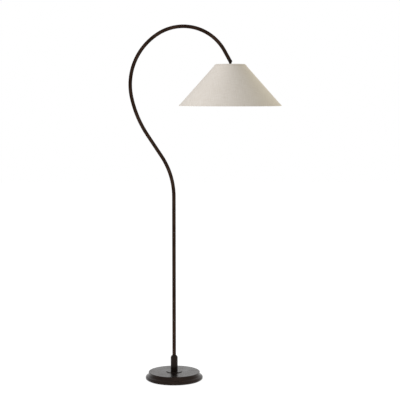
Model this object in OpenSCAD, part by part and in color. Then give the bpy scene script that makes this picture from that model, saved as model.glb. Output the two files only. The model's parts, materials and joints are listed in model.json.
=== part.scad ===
// Bridge floor lamp: a heavy cast base, a slim tube bent into a crook, and a linen cone
// shade that hangs from a friction swivel. It stands on z = 0 with its origin at the
// middle of the base, and the crook bends in the XZ plane with the shade towards +X.
// All sizes are in millimetres.

/* [Base] */
// Diameter over the bead round the foot
base_d = 258; // [230:1:300]
// Height of the casting above its felt
base_h = 33; // [31:1:40]
// Thickness of the casting's top plate
base_plate = 10.5; // [9:0.5:13]
// Width of the heavy rim at the mouth of the recess
base_rim = 27; // [20:1:40]
// How far the top's upright edge stands in from the bead
base_step = 13.5; // [9:0.5:15]
// Radius of the bead's upper round
bead_r = 9; // [7:0.5:10]
// Radius of the hollow cove above the bead
cove_r = 14; // [10:1:16]
// Radius of the round under the bead
foot_r = 4.5; // [3:0.5:6]
// Upright land between the bead's two rounds
bead_land = 2.5; // [1:0.5:3.5]
// Radius on the edge of the top face
top_edge_r = 2; // [1:0.5:3]
// Draft of the recess's wall, from mouth to ceiling
recess_draft = 1.5; // [0.5:0.5:3]
// Number of ribs under the top plate
rib_count = 6; // [3:1:8]
// Thickness of a rib
rib_t = 5; // [3:1:8]
// Depth of a rib under the plate
rib_depth = 8; // [4:1:10]
// Clear radius inside the ribs, for the fastening
rib_start_r = 26; // [22:1:40]
// Thickness of the felt pad
felt_t = 2; // [1:0.5:4]
// How far the felt stays inside the foot
felt_inset = 2; // [0.5:0.5:6]

/* [Fastening] */
// Thread diameter of the hollow nipples and studs
thread_d = 10; // [9:0.5:11]
// Bore of the hollow nipple
nipple_bore = 8; // [7:0.25:8]
// Length of the nipple's thread inside the coupling
nipple_reach = 16; // [10:1:20]
// Spare thread in the coupling past the nipple's end
thread_end = 1; // [0.5:0.5:3]
// Length of the nipple's thread past its locknut
nipple_tip = 0.5; // [0.5:0.25:2]
// Diameter of the flat washer
washer_d = 36; // [26:1:42]
// Thickness of the flat washer
washer_t = 2; // [1:0.5:2.5]
// Diameter of the split lock washer
lockwasher_d = 17; // [15:0.5:20]
// Thickness of the split lock washer
lockwasher_t = 1.5; // [1:0.25:2]
// Width of the lock washer's split
lockwasher_split = 1; // [0.5:0.25:2]
// Slant of the lock washer's split, in degrees
lockwasher_slant = 25; // [0:5:35]
// Width of the locknut across its flats
locknut_af = 17; // [15:0.5:22]
// Thickness of the locknut
locknut_t = 4; // [3:0.5:4.5]

/* [Supply lead] */
// Diameter of the lead inside the lamp
lead_d = 4.6; // [4:0.1:5]
// Height of the lead's way out above the felt
inlet_h = 5.5; // [5:0.25:6]
// Diameter of the bushing's body in the rim
bushing_d = 8; // [6.6:0.2:8.4]
// Diameter of the bushing's flange
flange_d = 10; // [9:0.5:10.5]
// Thickness of the bushing's flange
flange_t = 2; // [1:0.25:3]
// Depth of the flat that the flange sits on, in from the bead
inlet_flat = 3; // [2.5:0.25:5]

/* [Coupling] */
// Diameter of the raised ring under the coupling
ring_d = 72; // [50:1:90]
// Thickness of the raised ring
ring_t = 2.5; // [1.5:0.5:4]
// Radius on the edge of the raised ring
ring_edge_r = 1.2; // [0.5:0.1:1.4]
// Diameter of the coupling
coupling_d = 32; // [28:1:40]
// Height of the coupling's straight side
coupling_h = 60.5; // [50:0.5:80]
// Radius of the coupling's round shoulder
shoulder_r = 14; // [10:0.5:14]
// Height of the pole's seat above the coupling's foot
seat_h = 24.5; // [22:0.5:30]
// Diameter of the set screw
set_screw_d = 5; // [4:0.5:6]
// Height of the set screw above the coupling's foot
set_screw_h = 45; // [36:1:46]
// How deep the set screw's outer end sits
set_screw_sunk = 1; // [0.5:0.5:3]

/* [Pole] */
// Outer diameter of the tube
tube_d = 16; // [14:0.5:18]
// Wall of the tube
tube_wall = 1.5; // [1:0.1:1.8]
// Height at which the pole starts to lean back
lean_h = 827; // [780:1:900]
// Height of straight tube between the seam and the first bend
seam_drop = 30; // [28:1:80]
// Length of the joiner sleeve inside the seam
joiner_l = 50; // [30:1:54]

/* [Crook] */
// Radius of the first bend, back from the shade
lean_r = 330; // [280:1:380]
// Angle of the first bend, in degrees
lean_a = 33.5; // [30:0.5:36]
// Length of the straight slant above it
slant_l = 112; // [90:1:140]
// Radius of the long bend back up
rise_r = 485; // [420:1:540]
// Angle of the long bend back up, in degrees
rise_a = 21.5; // [18:0.5:24]
// Radius of the bend up to the crown
crown_r = 266; // [230:1:300]
// Angle of the bend up to the crown, in degrees
crown_a = 70; // [66:0.5:74]
// Radius of the bend over to the shade
reach_r = 208; // [190:1:230]
// Angle of the bend over to the shade, in degrees
reach_a = 93; // [88:0.5:98]
// Straight length from the last bend to the swivel's pin
tail_l = 53; // [40:1:80]
// Length of the land that the bender leaves between two stretches
land_l = 0.4; // [0.2:0.1:2]
// How far a land stands proud of the tube
land_proud = 0.05; // [0.05:0.01:0.1]

/* [Swivel] */
// How far the swivel's round cups stand proud of the tube
cup_proud = 0.3; // [0.2:0.1:1.5]
// Wall round a cup
cup_wall = 1.8; // [1.4:0.1:2.4]
// Thickness of a cup's floor
cup_floor = 2; // [1.5:0.25:3]
// Width of one cup along the pin
cup_w = 7; // [6:0.25:9]
// Thickness of the friction ring between the cups
friction_t = 0.45; // [0.3:0.05:1]
// Length of the full round stem between a cup and the tube's end
stem_land = 2.2; // [1.5:0.1:5]
// Length of the plug inside the tube
plug_l = 16; // [10:1:30]
// Diameter of the pivot screw
pivot_d = 4; // [3:0.25:5]
// Diameter of the pivot screw's head
pivot_head_d = 7.6; // [6.4:0.2:9]
// Height of the pivot screw's head
pivot_head_t = 2.4; // [1.8:0.1:3]
// Width of the pivot screw's slot
pivot_slot_w = 1; // [0.6:0.1:1.4]
// Depth of the pivot screw's slot
pivot_slot_depth = 1.2; // [0.6:0.1:1.5]
// Width of the cap nut across its flats
cap_nut_af = 7; // [6.5:0.25:8]
// Height of the cap nut's hexagon
cap_nut_t = 3.2; // [2.5:0.1:4]
// Diameter of the cap nut's dome
cap_nut_dome_d = 6.4; // [5.6:0.1:6.4]
// Length of the stud past the cap's hub
stud_tip = 1; // [0.5:0.5:2]
// Diameter of the neck below the lower cup
neck_d = 11; // [10.5:0.25:12]

/* [Shade] */
// Outer diameter of the shade at its top
shade_top_d = 131; // [120:1:160]
// Outer diameter of the shade at its bottom
shade_bottom_d = 457; // [400:1:500]
// Height of the shade
shade_h = 183; // [175:1:230]
// Depth of the shade's top below the swivel's pin
shade_drop = 13; // [11:0.5:18]
// Thickness of the linen
linen_t = 0.6; // [0.4:0.1:1]
// Thickness of the styrene liner
liner_t = 0.8; // [0.5:0.1:1.2]
// Thickness of the edge trim
trim_t = 0.5; // [0.3:0.1:1]
// Width of the edge trim on the outside
trim_w = 8; // [6:0.5:14]
// Wire of the shade's rings and arms
wire_d = 3; // [2.5:0.1:4]
// Depth of the fitter's washer below the shade's top
fitter_drop = 12; // [10:0.5:15]
// Diameter of the fitter's washer
fitter_d = 28; // [25:1:36]
// Thickness of the fitter's washer
fitter_t = 1.5; // [1:0.25:2.5]
// Number of the fitter's arms
arm_count = 3; // [3:1:4]
// Diameter of the ring nut that clamps the fitter
ring_nut_d = 22; // [18:1:26]
// Thickness of the ring nut
ring_nut_t = 5; // [3:0.5:5]
// Number of grip flutes round the ring nut
ring_nut_flutes = 24; // [12:1:30]
// Radius of a grip flute
grip_flute_r = 0.9; // [0.5:0.1:1.1]

/* [Lampholder] */
// Diameter of the cap
holder_d = 37; // [36:0.5:42]
// Height of the cap
holder_cap_h = 20; // [19:0.5:24]
// Diameter of the cap's threaded hub
hub_d = 16; // [14:0.5:20]
// Height of the cap's threaded hub
hub_h = 6; // [5:0.5:8]
// Radius of the cap's shoulder
cap_round_r = 8; // [5:0.5:9]
// Thickness of the cap's and shell's sheet brass
sheet_t = 0.8; // [0.5:0.1:1.2]
// Length of the shell below the cap
shell_l = 38; // [34:1:44]
// How far the shell slips up inside the cap
shell_lap = 5; // [3:0.5:6]
// Outer radius of a bead pressed into the shell
shell_bead_r = 1.6; // [1.4:0.1:2]
// Height of the lower bead above the shell's rim
shell_bead_h = 4; // [3:0.5:8]
// Distance between the shell's two beads
shell_bead_pitch = 18; // [10:1:18]
// Thickness of the insulating sleeve
sleeve_t = 0.8; // [0.5:0.1:1]
// Height of the inner body
body_h = 15; // [13:0.5:18]
// Depth of the inner body's top below the cap's top
body_drop = 18.5; // [18:0.25:20]
// Distance between the inner body's two flats
flats_w = 24; // [22:0.5:25]
// Inner diameter of the screw shell
shell_thread_d = 27; // [26.6:0.1:28]
// Wall of the screw shell
shell_thread_t = 0.6; // [0.4:0.1:1]
// Depth of the screw shell
shell_thread_h = 22; // [20:0.5:24]
// Diameter of the centre contact's rivet
contact_d = 8; // [7:0.5:9]
// Diameter of the centre contact's raised tip
contact_tip_d = 5.5; // [4:0.5:6.5]
// Height of the centre contact below the screw shell's floor
contact_t = 3; // [2:0.25:4]
// Gap round the centre contact in the screw shell's floor
contact_gap = 1; // [0.5:0.25:2]
// Diameter of a terminal screw's head
terminal_d = 6; // [5:0.25:7]
// Diameter of a terminal screw's shank
terminal_shank_d = 3; // [2.5:0.25:4]
// Height of a terminal screw's head
terminal_t = 1.2; // [0.8:0.1:1.3]
// Length of a terminal screw's shank in the body
terminal_l = 5; // [4:0.5:7]
// Depth of the terminals below the body's top
terminal_drop = 3.5; // [3.25:0.25:5]
// Diameter of one conductor
wire_lead_d = 2; // [1.6:0.1:2.2]
// Middle distance between the two conductors in the neck
wire_lead_gap = 2.4; // [2.3:0.05:2.6]
// Bend radius of the conductors
wire_lead_r = 4; // [3:0.25:5]

/* [Turn switch] */
// Diameter of the switch's shaft
switch_shaft_d = 4; // [3:0.25:5]
// Depth of the shaft inside the body
switch_sunk = 7; // [5:0.5:10]
// Height of the switch's axis above the body's foot
switch_h = 7.5; // [6:0.25:8]
// Diameter of the knob
knob_d = 13; // [11:0.5:16]
// Length of the knob
knob_l = 11; // [9:0.5:14]
// Depth of the shaft inside the knob
knob_seat = 5.5; // [3:0.5:8]
// Radius on the edge of the knob's face
knob_edge_r = 1; // [0.5:0.1:2]
// Gap between the shell and the knob
knob_gap = 2; // [1:0.5:4]
// Number of flutes round the knob
knob_flutes = 12; // [8:1:16]
// Radius of a flute in the knob
knob_flute_r = 0.9; // [0.6:0.1:1.2]

/* [Bulb] */
// Diameter of the glass
bulb_d = 60; // [55:1:66]
// Length of the bulb from contact to tip
bulb_l = 106; // [102:1:114]
// Diameter of the glass at its neck
bulb_neck_d = 27; // [25:0.5:28]
// Length of the straight neck below the bulb cap
bulb_neck_l = 4; // [2:0.5:6]
// Thickness of the glass
glass_t = 1; // [0.6:0.1:1.5]
// Diameter over the bulb cap's thread
bulb_cap_d = 26.2; // [25.5:0.1:26.4]
// Height of the bulb cap
bulb_cap_h = 23; // [21:0.5:24]
// Diameter of the bulb's insulator where it leaves the cap
bulb_insulator_d = 24; // [20:0.5:25]
// Height of the bulb's insulator
bulb_insulator_h = 4; // [3:0.5:5]
// Diameter of the bulb's contact
bulb_contact_d = 9; // [8:0.5:10]
// Height of the bulb's contact
bulb_contact_h = 1.5; // [1:0.25:2]

/* [Fits] */
// Radial clearance of a thread or a seated piece
seat_gap = 0.05; // [0.02:0.01:0.1]
// Radial clearance of a part that turns
run_gap = 0.08; // [0.04:0.01:0.1]
// Clearance round a part that swings past another
swing_gap = 0.3; // [0.2:0.05:0.5]
// Clearance of a through hole round its screw or pipe
hole_gap = 0.25; // [0.1:0.05:0.4]
// Clearance round the switch's shaft where it passes the shell
shaft_gap = 0.6; // [0.3:0.05:1]
// Open line at the seam between the tubes
seam_gap = 0.2; // [0.1:0.05:0.5]

/* [Hidden] */
$fn = 96;
// How far a cut runs past the face that it opens
cut = 1;
// How far an arc laps over the curve that it runs into
arc_lap = 0.01;
// A square bend of a lead, in degrees
square_bend = 90;

// The base, from the floor up
base_r = base_d / 2;
base_top = felt_t + base_h;
ceiling_z = base_top - base_plate;
foot_z = felt_t + foot_r;
bead_z = foot_z + bead_land;
step_r = base_r - base_step;
// The cove's centre lies a hair closer to the bead's than both their radii, so that they cross
cove_x = step_r + cove_r - arc_lap;
bead_x = base_r - bead_r;
cove_z = bead_z + sqrt(pow(cove_r + bead_r - arc_lap, 2) - pow(cove_x - bead_x, 2));
recess_r = base_r - base_rim;
felt_r = base_r - foot_r - felt_inset;

// The fastening below the plate, from the ceiling down
thread_r = thread_d / 2;
washer_z = ceiling_z - washer_t;
lockwasher_z = washer_z - lockwasher_t;
locknut_z = lockwasher_z - locknut_t;
nipple_z = locknut_z - nipple_tip;
inlet_z = felt_t + inlet_h;
lead_r = lead_d / 2;

// The coupling and the pole
ring_z = base_top;
coupling_z = ring_z + ring_t;
coupling_r = coupling_d / 2;
shoulder_z = coupling_z + coupling_h;
seat_z = coupling_z + seat_h;
tube_r = tube_d / 2;
tube_bore_r = tube_r - tube_wall;
seam_h = lean_h - seam_drop;

// The crook as a list of stretches, each [length, 0] or [radius, angle towards the shade]
crook = [
    [seam_drop, 0],
    [lean_r, -lean_a],
    [slant_l, 0],
    [rise_r, rise_a],
    [crown_r, crown_a],
    [reach_r, reach_a]
];
tail = len(crook);
whole_crook = concat(crook, [[tail_l, 0]]);
end_turn = turned(whole_crook, tail);
pin = place(whole_crook, len(whole_crook)) + [0, seam_h];

// The swivel, measured from its pin
cup_r = tube_r + cup_proud;
chamber_r = cup_r - cup_wall;
swing_r = cup_r + swing_gap;
cup_y = friction_t / 2 + seat_gap;
cup_out = cup_y + cup_w;
cup_in = cup_out - cup_floor;
stem_l = cup_r + stem_land;
pivot_r = pivot_d / 2;
stud_r = thread_r;
lead_bore_r = lead_r + hole_gap;

// The shade's stack below the pin: heights are negative
shade_top_z = -shade_drop;
shade_bottom_z = shade_top_z - shade_h;
lean = atan((shade_bottom_d - shade_top_d) / 2 / shade_h);
across = 1 / cos(lean);
liner_in = linen_t + seat_gap + liner_t;
wire_r = wire_d / 2;
wire_in = liner_in + seat_gap + wire_r;
top_wire_z = shade_top_z - wire_r - seat_gap;
bottom_wire_z = shade_bottom_z + wire_r + seat_gap;
fitter_z = shade_top_z - fitter_drop;
fitter_bottom = fitter_z - fitter_t;

// The lampholder below the fitter
cap_bottom = fitter_bottom - holder_cap_h;
shell_r = holder_d / 2 - sheet_t - seat_gap;
shell_top = cap_bottom + shell_lap;
shell_bottom = cap_bottom - shell_l;
sleeve_r = shell_r - sheet_t - seat_gap;
body_r = sleeve_r - sleeve_t - hole_gap;
body_top = fitter_bottom - body_drop;
body_bottom = body_top - body_h;
terminal_z = body_top - terminal_drop;
stud_end = fitter_bottom - hub_h - stud_tip;
switch_z = body_bottom + switch_h;
switch_r = switch_shaft_d / 2;
knob_y = shell_r + knob_gap;
knob_r = knob_d / 2;
shell_thread_r = shell_thread_d / 2;
contact_z = body_bottom - shell_thread_t - contact_t;
flat_x = flats_w / 2;

// The bulb below its contact
bulb_z = contact_z - seat_gap;
bulb_r = bulb_d / 2;
globe_z = bulb_z - bulb_l + bulb_r;
cap_low = bulb_z - bulb_contact_h - bulb_insulator_h - bulb_cap_h;
neck_r = bulb_neck_d / 2;
// The hollow curve from neck to globe starts at the neck's end and runs into the globe
curve_z = cap_low - bulb_neck_l;
rise = curve_z - globe_z;
curve_r = (pow(neck_r - arc_lap, 2) + pow(rise, 2) - pow(bulb_r - arc_lap, 2))
    / (2 * (bulb_r - neck_r));
curve_x = neck_r - arc_lap + curve_r;

// ---- Bent tubes ----

// Heading of stretch i from upright, in degrees towards +X
function turned(path, i) = i == 0 ? 0 : turned(path, i - 1) + path[i - 1][1];

// Way from the start to the end of a stretch s that starts at a heading
function way(s, heading) =
    s[1] == 0
    ? s[0] * [sin(heading), cos(heading)]
    : s[0] * sign(s[1]) * ([cos(heading), -sin(heading)]
        - [cos(heading + s[1]), -sin(heading + s[1])]);

// Place [x, z] where stretch i starts
function place(path, i) =
    i == 0 ? [0, 0] : place(path, i - 1) + way(path[i - 1], turned(path, i - 1));

// Cross-section of a tube, or of a rod where the bore is 0
module tube_section(r, bore) {
    difference() {
        circle(r);
        if (bore > 0)
            circle(bore);
    }
}

// One straight or one bend that starts upright at the origin. Its first bit can be skipped,
// so that it starts inside a land and not on the last stretch's end face
module stretch(s, r, bore, skip) {
    if (s[1] == 0)
        translate([0, 0, skip])
            linear_extrude(s[0] - skip)
                tube_section(r, bore);
    else
        rotate([0, 0, s[1] < 0 ? 180 : 0])
            translate([s[0], 0, 0])
                rotate([90, 0, 0])
                    rotate([0, 0, 180 - abs(s[1])])
                        rotate_extrude(angle = abs(s[1]) - skip / s[0] * 180 / PI)
                            translate([s[0], 0])
                                tube_section(r, bore);
}

// A whole path of stretches in the XZ plane. At each change a short straight land, a hair
// thicker, joins the end of one stretch to the start of the next
module bent(path, r, bore = 0) {
    for (i = [0 : len(path) - 1]) {
        start = place(path, i);
        translate([start[0], 0, start[1]])
            rotate([0, turned(path, i), 0]) {
                stretch(path[i], r, bore, i > 0 ? land_l / 4 : 0);
                if (i > 0)
                    translate([0, 0, -land_l / 2])
                        linear_extrude(land_l)
                            tube_section(r + land_proud, bore > 0 ? bore - land_proud : 0);
            }
    }
}

// ---- Half-sections and small helpers ----

// Half-section of a plain disc, from the axis out to r and from z0 up to z1
module slab(r, z0, z1) {
    translate([0, z0])
        square([r, z1 - z0]);
}

// Half-section of a disc whose upper outer edge is rounded
module rounded_slab(r, z0, z1, edge) {
    slab(r - edge, z0, z1);
    slab(r, z0, z1 - edge);
    intersection() {
        translate([r - edge, z1 - edge])
            circle(edge);
        slab(r, z1 - edge, z1);
    }
}

// Half-section under an S curve: a round about low that turns into a hollow about high.
// Their centres lie a hair closer than their radii together, so that the arcs cross
module s_curve(low, low_r, high, high_r) {
    touch = low + (high - low) * low_r / (low_r + high_r);
    difference() {
        slab(high[0], touch[1], high[1]);
        translate(high)
            circle(high_r);
    }
    slab(touch[0], low[1], touch[1]);
    intersection() {
        translate(low)
            circle(low_r);
        slab(low[0] + low_r, low[1], low[1] + low_r);
    }
}

// Cylinder from z0 up to z1
module rod(r, z0, z1) {
    translate([0, 0, z0])
        cylinder(r = r, h = z1 - z0);
}

// Washer or sleeve from z0 up to z1
module sleeve(r, bore, z0, z1) {
    difference() {
        rod(r, z0, z1);
        rod(bore, z0 - cut, z1 + cut);
    }
}

// Hexagon prism of a width across flats, from z0 up to z1
module hexagon(af, z0, z1) {
    translate([0, 0, z0])
        cylinder(d = af / cos(30), h = z1 - z0, $fn = 6);
}

// Turns +Z to +Y, so that a rod from z0 to z1 runs from y0 to y1
module along_y() {
    rotate([-90, 0, 0])
        children();
}

// Puts the head's pieces below the swivel's pin
module at_pin() {
    translate([pin[0], 0, pin[1]])
        children();
}

// Turns -Z back up along the end of the tube, with the pin at the origin
module at_tube_end() {
    at_pin()
        rotate([0, end_turn, 0])
            children();
}

// ---- Base ----

// Outline of the casting: flat top, upright step, cove and bead
module base_outline() {
    rounded_slab(step_r, felt_t, base_top, top_edge_r);
    s_curve([bead_x, bead_z], bead_r, [cove_x, cove_z], cove_r);
    slab(base_r, foot_z, bead_z);
    slab(base_r - foot_r, felt_t, foot_z);
    translate([base_r - foot_r, foot_z])
        circle(foot_r);
}

// Hollow under the plate, with the ribs left standing in it
module base_recess() {
    difference() {
        translate([0, 0, felt_t - cut])
            cylinder(r1 = recess_r + recess_draft, r2 = recess_r, h = ceiling_z - felt_t + cut);
        for (i = [0 : rib_count - 1])
            rotate([0, 0, (i + 0.5) * 360 / rib_count])
                translate([rib_start_r, -rib_t / 2, ceiling_z - rib_depth])
                    cube([base_r - rib_start_r, rib_t, rib_depth]);
    }
}

module base_casting() {
    color("#2b2422")
        difference() {
            rotate_extrude()
                base_outline();
            base_recess();
            rod(thread_r + hole_gap, ceiling_z - cut, base_top + cut);
            translate([0, 0, inlet_z])
                along_y() {
                    rod(bushing_d / 2 + seat_gap, recess_r - cut, base_r + cut);
                    rod(flange_d / 2 + hole_gap, base_r - inlet_flat, base_r + cut);
                }
        }
}

module base_felt() {
    color("#1d1b1a")
        rod(felt_r, 0, felt_t);
}

module check_ring() {
    color("#2b2422")
        difference() {
            rotate_extrude()
                rounded_slab(ring_d / 2, ring_z, coupling_z, ring_edge_r);
            rod(thread_r + hole_gap, ring_z - cut, coupling_z + cut);
        }
}

// Flanged bushing in the rear of the rim, where the lead leaves the base
module cord_bushing() {
    color("#151515")
        translate([0, 0, inlet_z])
            along_y()
                difference() {
                    union() {
                        rod(bushing_d / 2, recess_r, base_r - inlet_flat);
                        rod(flange_d / 2, base_r - inlet_flat, base_r - inlet_flat + flange_t);
                    }
                    rod(lead_bore_r, recess_r - cut, base_r + cut);
                }
}

module stem_nipple() {
    color("#b9a878")
        sleeve(thread_r, nipple_bore / 2, nipple_z, coupling_z + nipple_reach);
}

module base_washer() {
    color("#a9a9a4")
        sleeve(washer_d / 2, thread_r + hole_gap, washer_z, ceiling_z);
}

// Spring washer, split on a slant
module base_lockwasher() {
    color("#8d8d88")
        difference() {
            sleeve(lockwasher_d / 2, thread_r + hole_gap, lockwasher_z, washer_z);
            translate([0, 0, lockwasher_z + lockwasher_t / 2])
                rotate([lockwasher_slant, 0, 0])
                    translate([0, -lockwasher_split / 2, -lockwasher_t])
                        cube([lockwasher_d, lockwasher_split, 2 * lockwasher_t]);
        }
}

module base_locknut() {
    color("#b9a878")
        difference() {
            hexagon(locknut_af, locknut_z, lockwasher_z);
            rod(thread_r + seat_gap, locknut_z - cut, lockwasher_z + cut);
        }
}

// ---- Pole ----

// Turned sleeve with a round shoulder: threaded below, bored for the pole above
module pole_coupling() {
    color("#2b2422")
        difference() {
            rotate_extrude()
                difference() {
                    union() {
                        slab(coupling_r, coupling_z, shoulder_z);
                        intersection() {
                            translate([coupling_r - shoulder_r, shoulder_z])
                                circle(shoulder_r);
                            slab(coupling_r, shoulder_z, shoulder_z + shoulder_r);
                        }
                    }
                    slab(tube_r + seat_gap, seat_z, shoulder_z + shoulder_r + cut);
                    slab(thread_r + seat_gap, coupling_z - cut, coupling_z + nipple_reach + thread_end);
                    slab(nipple_bore / 2, coupling_z, seat_z + cut);
                }
            translate([0, 0, coupling_z + set_screw_h])
                along_y()
                    rod(set_screw_d / 2 + seat_gap, tube_r, coupling_r + cut);
        }
}

// Headless screw with a hexagon socket, half as wide and as deep as its thread
module coupling_set_screw() {
    outer = coupling_r - set_screw_sunk;
    color("#3a3a3a")
        translate([0, 0, coupling_z + set_screw_h])
            along_y()
                difference() {
                    rod(set_screw_d / 2, tube_r, outer);
                    hexagon(set_screw_d / 2, outer - set_screw_d / 2, outer + cut);
                }
}

module lower_pole() {
    color("#33261f")
        sleeve(tube_r, tube_bore_r, seat_z, seam_h - seam_gap);
}

module pole_joiner() {
    color("#77736c")
        sleeve(tube_bore_r - seat_gap, nipple_bore / 2, seam_h - joiner_l / 2, seam_h + joiner_l / 2);
}

// The crook: one tube through four bends, cut off square where the swivel's stem starts
module crook_tube() {
    color("#33261f")
        translate([0, 0, seam_h])
            bent(concat(crook, [[tail_l - stem_l, 0]]), tube_r, tube_bore_r);
}

// The lead from the bushing up through nipple, pole and crook to the swivel
module supply_lead() {
    bend = nipple_z - inlet_z;
    entry = recess_r - swing_gap;
    color("#1a1a1a") {
        translate([0, entry, inlet_z])
            rotate([0, -90, 90])
                bent([[entry - bend, 0], [bend, square_bend], [seam_h - nipple_z, 0]], lead_r);
        translate([0, 0, seam_h])
            bent(concat(crook, [[tail_l - cup_r, 0]]), lead_r);
    }
}

// ---- Swivel ----

// Round cup about the pin, open at the swivel's middle plane; side is 1 for rear, -1 for front
module cup(side) {
    rotate([-90 * side, 0, 0])
        rod(cup_r, cup_y, cup_out);
}

module cup_chamber(side) {
    rotate([-90 * side, 0, 0])
        rod(chamber_r, cup_y - cut, cup_in);
}

// Space that the other half's cup swings through
module swing_room(side) {
    rotate([-90 * side, 0, 0])
        rod(swing_r, -cup_y, cup_out + tube_d);
}

// Rear cup with a stem that carries on the tube's line and a plug inside the tube
module swivel_upper() {
    color("#2b2422")
        at_tube_end()
            difference() {
                union() {
                    cup(1);
                    difference() {
                        rod(tube_r, -stem_l, 0);
                        swing_room(-1);
                        along_y()
                            rod(swing_r, cup_out, cup_out + tube_d);
                    }
                    rod(tube_bore_r - seat_gap, -stem_l - plug_l, -stem_l);
                }
                cup_chamber(1);
                rod(lead_bore_r, -stem_l - plug_l - cut, 0);
                along_y()
                    rod(pivot_r + seat_gap, 0, cup_out + cut);
            }
}

module swivel_friction_ring() {
    color("#8a7b5c")
        at_pin()
            along_y()
                sleeve(cup_r - seat_gap, chamber_r + seat_gap, cup_y - friction_t, cup_y);
}

// Pan-head screw with a driver slot, from the front through both cups
module swivel_screw() {
    head = -cup_out - run_gap;
    color("#2b2422")
        at_pin()
            along_y()
                difference() {
                    union() {
                        rod(pivot_r, head, cup_out + cap_nut_t);
                        mirror([0, 0, 1])
                            rotate_extrude()
                                rounded_slab(pivot_head_d / 2, -head, -head + pivot_head_t,
                                    pivot_head_t / 2);
                    }
                    translate([-pivot_head_d, -pivot_slot_w / 2, head - pivot_head_t - cut])
                        cube([2 * pivot_head_d, pivot_slot_w, cut + pivot_slot_depth]);
                }
}

// Domed nut at the rear
module swivel_cap_nut() {
    color("#2b2422")
        at_pin()
            along_y()
                difference() {
                    union() {
                        hexagon(cap_nut_af, cup_out, cup_out + cap_nut_t);
                        intersection() {
                            translate([0, 0, cup_out + cap_nut_t])
                                sphere(cap_nut_dome_d / 2);
                            rod(cap_nut_af, cup_out + cap_nut_t / 2, cup_out + cap_nut_t + cap_nut_af);
                        }
                    }
                    rod(pivot_r + seat_gap, cup_out - cut, cup_out + cap_nut_t + seat_gap);
                }
}

// Front cup with the neck and the threaded stud that carries shade and lampholder
module swivel_lower() {
    color("#2b2422")
        at_pin()
            difference() {
                union() {
                    cup(-1);
                    difference() {
                        union() {
                            rod(neck_d / 2, fitter_z + ring_nut_t, 0);
                            rod(stud_r, stud_end, fitter_z + ring_nut_t);
                        }
                        swing_room(1);
                    }
                }
                cup_chamber(-1);
                rod(lead_bore_r, stud_end - cut, 0);
                rotate([90, 0, 0])
                    rod(pivot_r + run_gap, 0, cup_out + cut);
            }
}

// ---- Shade ----

// Radius at height z of a cone that lies a depth inside the linen's outer face
function cone_r(z, depth) =
    shade_top_d / 2 + (shade_top_z - z) * tan(lean) - depth * across;

// Middle radius of a wire ring at height z, against the liner
function ring_mid(z) = cone_r(z, wire_in);

// Conical layer of the shade between two depths
module shade_layer(outer, inner) {
    rotate_extrude()
        polygon([
            [cone_r(shade_bottom_z, outer), shade_bottom_z],
            [cone_r(shade_top_z, outer), shade_top_z],
            [cone_r(shade_top_z, inner), shade_top_z],
            [cone_r(shade_bottom_z, inner), shade_bottom_z]
        ]);
}

module shade_fabric() {
    color("#d9d1c4")
        at_pin()
            shade_layer(0, linen_t);
}

module shade_liner() {
    color("#f1ede4")
        at_pin()
            shade_layer(linen_t + seat_gap, liner_in);
}

module wire_ring(z) {
    rotate_extrude()
        translate([ring_mid(z), z])
            circle(wire_r);
}

// Arms from the fitter's washer out to the top ring
module fitter_arms(r) {
    start = [fitter_d / 2 - wire_d, fitter_z - fitter_t / 2];
    end = [ring_mid(top_wire_z), top_wire_z];
    run = end - start;
    for (i = [0 : arm_count - 1])
        rotate([0, 0, 90 + i * 360 / arm_count])
            translate([start[0], 0, start[1]])
                rotate([0, 90 - atan2(run[1], run[0]), 0])
                    cylinder(r = r, h = norm(run));
}

// Top ring, arms and washer, brazed into one frame
module shade_fitter() {
    color("#c9c6bd")
        at_pin()
            difference() {
                union() {
                    wire_ring(top_wire_z);
                    rod(fitter_d / 2, fitter_bottom, fitter_z);
                    difference() {
                        fitter_arms(wire_r);
                        rod(fitter_d / 2 + cut, fitter_z, shade_top_z);
                        rod(fitter_d / 2 + cut, fitter_bottom - wire_d, fitter_bottom);
                    }
                }
                rod(stud_r + seat_gap, fitter_bottom - cut, fitter_z + cut);
            }
}

module shade_bottom_ring() {
    color("#c9c6bd")
        at_pin()
            wire_ring(bottom_wire_z);
}

// Folded tape round an edge at height z; up is 1 where the shade lies above that edge
module edge_trim(z, wire_z, up) {
    lip = z - up * seat_gap;
    rim = lip - up * trim_t;
    upper = z + up * trim_w;
    inside = ring_mid(wire_z) - wire_r - seat_gap;
    fold = wire_z + up * (wire_r + seat_gap);
    cover = fold + up * trim_t;
    rotate_extrude()
        polygon([
            [cone_r(upper, -seat_gap - trim_t), upper],
            [cone_r(rim, -seat_gap - trim_t), rim],
            [inside - trim_t, rim],
            [inside - trim_t, cover],
            [cone_r(cover, liner_in + seat_gap), cover],
            [cone_r(fold, liner_in + seat_gap), fold],
            [inside, fold],
            [inside, lip],
            [cone_r(lip, -seat_gap), lip],
            [cone_r(upper, -seat_gap), upper]
        ]);
}

// The top trim is notched where the fitter's arms pass through it
module shade_top_trim() {
    color("#d2c9bb")
        at_pin()
            difference() {
                edge_trim(shade_top_z, top_wire_z, -1);
                fitter_arms(wire_r + swing_gap);
            }
}

module shade_bottom_trim() {
    color("#d2c9bb")
        at_pin()
            edge_trim(shade_bottom_z, bottom_wire_z, 1);
}

// Fluted ring nut that clamps the fitter's washer
module shade_ring_nut() {
    color("#2b2422")
        at_pin()
            difference() {
                rod(ring_nut_d / 2, fitter_z, fitter_z + ring_nut_t);
                rod(stud_r + seat_gap, fitter_z - cut, fitter_z + ring_nut_t + cut);
                for (i = [0 : ring_nut_flutes - 1])
                    rotate([0, 0, i * 360 / ring_nut_flutes])
                        translate([ring_nut_d / 2, 0, 0])
                            rod(grip_flute_r, fitter_z - cut, fitter_z + ring_nut_t + cut);
            }
}

// ---- Lampholder ----

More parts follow.
